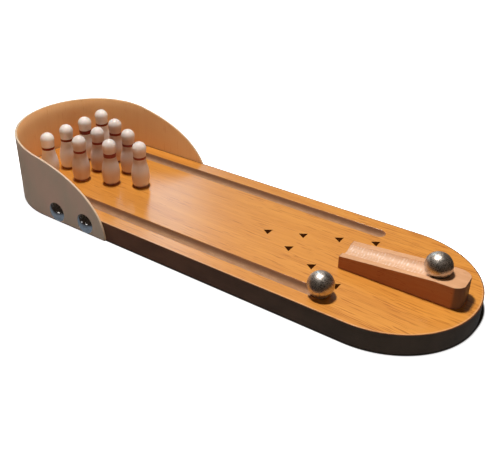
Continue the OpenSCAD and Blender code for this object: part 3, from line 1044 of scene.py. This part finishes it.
under_z = TOP_Z - VENEER_T
gutter_r = ((GUTTER_W / 2) ** 2 + GUTTER_DEPTH**2) / (2 * GUTTER_DEPTH)
gutter_axis_z = TOP_Z - GUTTER_DEPTH + gutter_r
gutter_y = BOARD_R - GUTTER_INSET
gutter_near_x = NEAR_X - GUTTER_NEAR
gutter_far_x = FAR_X - GUTTER_FAR


def slot_loop(bm, x_low, x_high, y, radius, z, steps):
    """A closed loop of points round a slot with round ends."""
    points = arc_points(x_high, y, radius, -90, 90, steps) + arc_points(x_low, y, radius, 90, 270, steps)
    return [bm.verts.new((*p, z)) for p in points]


def outer_loop(bm, inset, z):
    """A loop along the sheet's outline."""
    return slot_loop(bm, FAR_X, NEAR_X, 0, SHEET_R - inset, z, OUTLINE_STEPS)


def gutter_loop(bm, side, outset, z):
    """A loop along a gutter's wall."""
    radius = math.sqrt(gutter_r**2 - (gutter_axis_z - z) ** 2) + outset
    return slot_loop(bm, gutter_far_x, gutter_near_x, side * gutter_y, radius, z, GUTTER_STEPS)


def ease_steps(ease):
    """The points of a rounded edge, each with its way off the wall and its height."""
    angles = [math.pi / 2 * step / EASE_STEPS for step in range(EASE_STEPS + 1)]
    return [(ease * (1 - math.sin(a)), TOP_Z - ease * (1 - math.cos(a))) for a in angles]


def fill_between(bm, loops):
    """A flat face between an outer loop and its holes."""
    edges = []
    for loop in loops:
        pairs = zip(loop, loop[1:] + loop[:1])
        edges += [bm.edges.get(pair) or bm.edges.new(pair) for pair in pairs]
    bmesh.ops.triangle_fill(bm, use_beauty=True, use_dissolve=False, edges=edges)


print("gutter radius in mm:", round(gutter_r, 2))

# %% Build the veneer
OUTER_EASE = 0.12
LIP_EASE = 0.22
ARROW_REACH = 76.9
ARROW_STEP = 19.0
ARROW_SPREAD = 8.4
ARROW_L = 4.5
ARROW_W = 6.0
ARROW_DEPTH = 0.3

bm = bmesh.new()
outline = [outer_loop(bm, inset, z) for inset, z in ease_steps(OUTER_EASE)]
outline.append(outer_loop(bm, 0.0, under_z))
skin(bm, outline)
top_loops, under_loops = [outline[0]], [outline[-1]]
for side in (-1, 1):
    lip = [gutter_loop(bm, side, outset, z) for outset, z in ease_steps(LIP_EASE)]
    lip.append(gutter_loop(bm, side, 0.0, under_z))
    skin(bm, lip)
    top_loops.append(lip[0])
    under_loops.append(lip[-1])
for k in range(-3, 4):
    tip_x = NEAR_X - ARROW_REACH + abs(k) * ARROW_STEP
    tip_y = k * ARROW_SPREAD
    corners = [(tip_x, tip_y), (tip_x + ARROW_L, tip_y + ARROW_W / 2), (tip_x + ARROW_L, tip_y - ARROW_W / 2)]
    pocket = [[bm.verts.new((*c, z)) for c in corners] for z in (TOP_Z, TOP_Z - ARROW_DEPTH)]
    skin(bm, pocket)
    bm.faces.new(pocket[-1])
    top_loops.append(pocket[0])
fill_between(bm, top_loops)
fill_between(bm, under_loops)
finish_piece("eased_veneer", bm, lane_varnish, "game_board", ["lane_veneer"], weighted=True)
print("veneer built, loops:", len(top_loops))

# %% [markdown]
# ## The backstop strip
# The strip is swept along its middle line: straight, round the half circle, straight again. Its rim height
# falls as a flattened curve, slowly at first and steeply at the feet, and each edge of the rim is rounded
# over by half a millimetre. Bent wood opens a little where nothing holds it: at the back the rim leans out
# by a millimetre. Points are set closer together where the rim falls fast.

# %% Build the backstop
STOP_FOOT = 54.0
STOP_SKEW = 0.8
STOP_LEAN = 1.2
STOP_FALL = 0.72
RIM_POWER = 3.4
RIM_EASE = 0.45
EVEN_SLICES = 110
FALL_SLICES = 70
STRIP_MIDDLE_R = STRIP_OUT_R - STRIP_T / 2
STOP_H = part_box("backstop")[1].z / MM
quarter = STRIP_OUT_R * math.pi / 2


def strip_place(along, side, outward):
    """A point of the strip in plan, from its way along the outer face and its way out from the middle."""
    radius = STRIP_MIDDLE_R + outward
    if along < quarter:
        a = along / STRIP_OUT_R
        return FAR_X - radius * math.cos(a), side * radius * math.sin(a)
    return FAR_X + along - quarter, side * radius


def strip_stations(side):
    """Ways along the strip from the back's middle to a foot, closer together near the foot."""
    whole = quarter + STOP_FOOT + side * STOP_SKEW
    even = [STOP_FALL * i / EVEN_SLICES for i in range(EVEN_SLICES)]
    turns = [math.pi / 2 * i / FALL_SLICES for i in range(FALL_SLICES + 1)]
    falling = [STOP_FALL + (1 - STOP_FALL) * math.sin(turn) for turn in turns]
    return [(share * whole, whole) for share in even + falling]


def strip_section(along, whole, side):
    """One slice across the strip: up the outer face, over the rim, down the inner face."""
    height = STOP_H * math.sqrt(max(0.0, 1 - (along / whole) ** RIM_POWER))
    ease = min(RIM_EASE, height / 2)
    half = STRIP_T / 2
    points = [(half, 0.0)]
    points += arc_points(half - ease, height - ease, ease, 0, 90, 5)
    points += arc_points(ease - half, height - ease, ease, 90, 180, 5)
    points.append((-half, 0.0))
    lean = STOP_LEAN * max(0.0, 1 - along / quarter) ** 0.5
    return [(*strip_place(along, side, outward + lean * (z / STOP_H) ** 1.5), z) for outward, z in points]


bm = bmesh.new()
slices = [strip_section(a, w, -1) for a, w in reversed(strip_stations(-1))]
slices += [strip_section(a, w, 1) for a, w in strip_stations(1)[1:]]
columns = [[bm.verts.new(p) for p in one] for one in slices]
skin(bm, columns)
for end in (columns[0], columns[-1]):
    bm.faces.new(end)
bmesh.ops.remove_doubles(bm, verts=bm.verts, dist=0.004)
finish_piece("bent_backstop", bm, bent_wood, "game_board", ["backstop"])
print("backstop built, slices:", len(columns))

# %% [markdown]
# ## The ramp
# The ramp's top is a height for every place in its plan: the block's own slope, the groove cut into it, and
# a soft edge all round. The grid's lines follow the groove's lips and the round corners, so the lips stay
# clean. The cutter has left ripples across the groove, about two millimetres apart, and in the picture they
# are a row of small glints.

# %% Ramp sizes
RAMP_W = 18.7
RAMP_FRONT_H = 7.5
RAMP_H = 12.5
RAMP_SLOPE_L = 51.0
GROOVE_FRONT_DEPTH = 2.3
GROOVE_REAR_DEPTH = 3.6
BALL_REST = 50.0
BALL_GAP = 0.15
RAMP_EASE = 0.35
GROOVE_LIP = 0.35
RIPPLE_PITCH = 2.2
RIPPLE_DEPTH = 0.05

ball_low, ball_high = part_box("ramp_ball")
seat_r = (ball_high.z - ball_low.z) / 2 / MM + BALL_GAP
half_w = RAMP_W / 2
inner_half_w = half_w - RAMP_CORNER_R


def ramp_top(u):
    """The block's own height at a way along it."""
    return RAMP_FRONT_H + (RAMP_H - RAMP_FRONT_H) * min(u, RAMP_SLOPE_L) / RAMP_SLOPE_L


groove_rear_z = ramp_top(BALL_REST) - GROOVE_REAR_DEPTH + seat_r
groove_front_z = RAMP_FRONT_H - GROOVE_FRONT_DEPTH + seat_r


def groove_axis(u):
    """The height of the groove's axis."""
    share = min(u, BALL_REST) / BALL_REST
    return groove_front_z + (groove_rear_z - groove_front_z) * share


def groove_radius(u):
    """The groove's radius in a slice, which shrinks in its round rear end."""
    past = max(0.0, u - BALL_REST)
    return math.sqrt(max(0.0, seat_r**2 - past**2))


def groove_half(u):
    """Half the groove's width where it meets the top."""
    square = groove_radius(u) ** 2 - (groove_axis(u) - ramp_top(u)) ** 2
    return math.sqrt(max(0.0, square))


def half_width(u):
    """Half the block's width in a slice."""
    past = max(0.0, u - CORNER_START)
    return inner_half_w + math.sqrt(max(0.0, RAMP_CORNER_R**2 - past**2))


def edge_distance(u, v):
    """How far a place is inside the block's outline."""
    past = u - CORNER_START
    beside = abs(v) - inner_half_w
    if past > 0 and beside > 0:
        return min(u, RAMP_CORNER_R - math.hypot(past, beside))
    return min(u, RAMP_L - u, half_w - abs(v))


def ripple(u, v):
    """The cutter's ripples, uneven in depth and pitch."""
    wander = noise.noise(Vector((u * 0.16, v * 0.05, 2.0)))
    strength = 0.55 + 0.9 * noise.noise(Vector((u * 0.31, v * 0.22, 9.0)))
    return RIPPLE_DEPTH * strength * math.sin(math.tau * (u / RIPPLE_PITCH + wander * 0.9))


def surface(u, v):
    """The height of the ramp's top, groove and soft edges together."""
    block = ramp_top(u)
    inside = groove_radius(u) ** 2 - v**2
    cut = groove_axis(u) - math.sqrt(inside) + ripple(u, v) if inside > 0 else block + 2 * GROOVE_LIP
    near = max(0.0, GROOVE_LIP - abs(block - cut)) / GROOVE_LIP
    height = min(block, cut) - near * near * GROOVE_LIP / 4
    within = max(0.0, min(edge_distance(u, v), RAMP_EASE))
    return height - (RAMP_EASE - math.sqrt(RAMP_EASE**2 - (RAMP_EASE - within) ** 2))


print("groove radius in mm:", round(seat_r, 2))

# %% Build the ramp
RAMP_FOOT = 0.02  # a hair over the lane, so that the ramp doesn't cut the arrows when it turns
EDGE_STEPS = [0.0, 0.02, 0.06, 0.12, 0.2, 0.35]
LIP_STEPS = [0.9, 0.5, 0.25, 0.1]
STEPS_SHARE = 0.4
LONG_SLICES = 236
CORNER_SLICES = 16
GROOVE_COLUMNS = 26


def ramp_stations():
    """Ways along the ramp, closer together at both ends."""
    first = EDGE_STEPS[-1]
    straight = [first + (CORNER_START - first) * i / LONG_SLICES for i in range(1, LONG_SLICES + 1)]
    turns = [math.pi / 2 * i / CORNER_SLICES for i in range(1, CORNER_SLICES)]
    corner = [CORNER_START + RAMP_CORNER_R * math.sin(turn) for turn in turns]
    corner = [u for u in corner if u < RAMP_L - first]
    return EDGE_STEPS + straight + corner + [RAMP_L - s for s in reversed(EDGE_STEPS)]


def slice_lines(u):
    """Places across one slice, from one side to the other."""
    outer, groove = half_width(u), groove_half(u)
    room = STEPS_SHARE * (outer - groove)
    outer_part = [outer - min(s, room) for s in EDGE_STEPS]
    inner_part = [groove + min(s, room) for s in LIP_STEPS]
    middle = (outer_part[-1] + inner_part[0]) / 2
    side = outer_part + [middle] + inner_part
    across = [groove * math.cos(math.pi * i / GROOVE_COLUMNS) for i in range(GROOVE_COLUMNS + 1)]
    return side + across + [-v for v in reversed(side)]


bm = bmesh.new()
grid = [[bm.verts.new((u, v, surface(u, v))) for v in slice_lines(u)] for u in ramp_stations()]
skin(bm, grid, closed=False)
bmesh.ops.remove_doubles(bm, verts=bm.verts, dist=0.002)
rim_edges = [e for e in bm.edges if len(e.link_faces) == 1]
grown = bmesh.ops.extrude_edge_only(bm, edges=rim_edges)["geom"]
foot = {g for g in grown if isinstance(g, bmesh.types.BMVert)}
for vert in foot:
    vert.co.z = RAMP_FOOT
bottom = [g for g in grown if isinstance(g, bmesh.types.BMEdge) and foot.issuperset(g.verts)]
bmesh.ops.edgeloop_fill(bm, edges=bottom)
ramp_ahead = Matrix.Translation((-CORNER_START, 0, TOP_Z))
placed = IN_MM @ Matrix.Translation((pivot[0], pivot[1], 0)) @ Matrix.Rotation(ramp_turn, 4, "Z") @ ramp_ahead
finish_piece("grooved_ramp", bm, ramp_wood, "aiming_ramp", ["aiming_ramp"], placed, True)
print("ramp built, slices:", len(grid))

# %% [markdown]
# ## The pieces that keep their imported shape
# The core board, the edging and the arrows are right as they are, so they only get their materials. Most of
# the core is hidden, and what shows of it are the two gutters.

# %% Give the kept nodes their materials
kept = {"lane_core": routed_core, "edge_band": dark_edging, "aiming_arrows": arrow_paint}
for name, material in kept.items():
    mesh = frame["nodes"][name].data
    mesh.materials.clear()
    mesh.materials.append(material)
print("kept nodes dressed:", len(kept))

# %% [markdown]
# ## The floor
# The picture's background is pure white, with a thin dark line where the board meets the table, and one
# broader shadow at the near end's right. So to the camera the floor glows white, but for a narrow band
# along the outline. There the sheet is painted dark and has no glow: a painted shadow along the outline,
# broader at the near end's right. Metal mirrors white only far away on the left behind the game. Nearer,
# metal mirrors a small blue-grey sheet that ends soon after the board's outline, and a dark table round it.
# On the sheet lie two glowing spots that only mirrors see: painted glints, which show in the near tacks.
# To every other ray the floor is a dark table, which throws little light on the sides.

# %% Lay the floor
FLOOR_SIZE = 6.0
FLOOR_DROP = 0.05

bm = bmesh.new()
bmesh.ops.create_grid(bm, x_segments=1, y_segments=1, size=FLOOR_SIZE / 2)
floor_mesh = bpy.data.meshes.new("floor")
bm.to_mesh(floor_mesh)
bm.free()
floor = bpy.data.objects.new("floor", floor_mesh)
scene.collection.objects.link(floor)
floor.location.z = -FLOOR_DROP * MM
print("floor laid, metres across:", FLOOR_SIZE)

# %% Floor material
TABLE_GREY = (0.15, 0.15, 0.15, 1)
TABLE_BROWN = (0.020, 0.012, 0.008, 1)
SHEET_BLUE = (0.175, 0.200, 0.230, 1)
SHEET_SHADED = (0.08, 0.07, 0.06, 1)
SHEET_BRIGHT = (0.9, 0.9, 0.9, 1)
GLINT_SPOTS = ((-93.0, -81.0, 0.0), (-68.5, -81.0, 0.0))
GLINT_SPOT_COLOUR = (3.5, 3.3, 3.1, 1)
SHADOW_LINE = 0.7
SHADOW_BROAD = 1.5

floor_white, tree, shader, place = start_material("white floor")
paint(tree, shader, Base_Color=TABLE_GREY, Roughness=0.9, Specular_IOR_Level=0.1)
axes = split(tree, place)
from_edge = calc(tree, "SUBTRACT", from_middle_line(tree, place, NEAR_X, FAR_X), BOARD_R)
# Painted shadow: a dark band along the outline, broader at the near end's right.
broad = times(tree, between(tree, axes["Y"], -6.0, 21.0), between(tree, axes["Y"], 25.0, 28.0, 1.0, 0.0))
broad = times(tree, broad, between(tree, axes["X"], 100.0, 130.0))
width = calc(tree, "MULTIPLY_ADD", broad, SHADOW_BROAD, SHADOW_LINE)
glow = between(tree, calc(tree, "SUBTRACT", from_edge, width), -0.5, 0.5)
sheet_tone = blend_colour(tree, glow, SHEET_SHADED, SHEET_BRIGHT)
sheet = add_node(tree, "ShaderNodeBsdfDiffuse", {"Color": sheet_tone}).outputs[0]
bright = add_node(tree, "ShaderNodeEmission", {"Color": WHITE, "Strength": glow}).outputs[0]
shown = add_node(tree, "ShaderNodeAddShader", {0: sheet, 1: bright}).outputs[0]
metal_sees = blend_colour(tree, between(tree, from_edge, 6.0, 26.0), SHEET_BLUE, TABLE_BROWN)
far_left = between(tree, vector_calc(tree, "DOT_PRODUCT", place, PALE_WAY), 330.0, 700.0)
metal_sees = blend_colour(tree, far_left, metal_sees, WHITE)
# Painted glints: two glowing spots that only mirrors see, placed for the near tacks.
for spot in GLINT_SPOTS:
    near_spot = between(tree, vector_calc(tree, "DISTANCE", place, spot), 2.0, 5.0, 1.0, 0.0)
    metal_sees = blend_colour(tree, near_spot, metal_sees, GLINT_SPOT_COLOUR)
in_metal = add_node(tree, "ShaderNodeEmission", {"Color": metal_sees, "Strength": 1.0}).outputs[0]
from_camera, mirrored = ray_kinds(tree)
floor_look = mix_shaders(tree, from_camera, mix_shaders(tree, mirrored, shader.outputs[0], in_metal), shown)
fill(tree, tree.nodes["Material Output"].inputs["Surface"], floor_look)
floor_mesh.materials.append(floor_white)
print("floor material:", len(tree.nodes), "nodes")
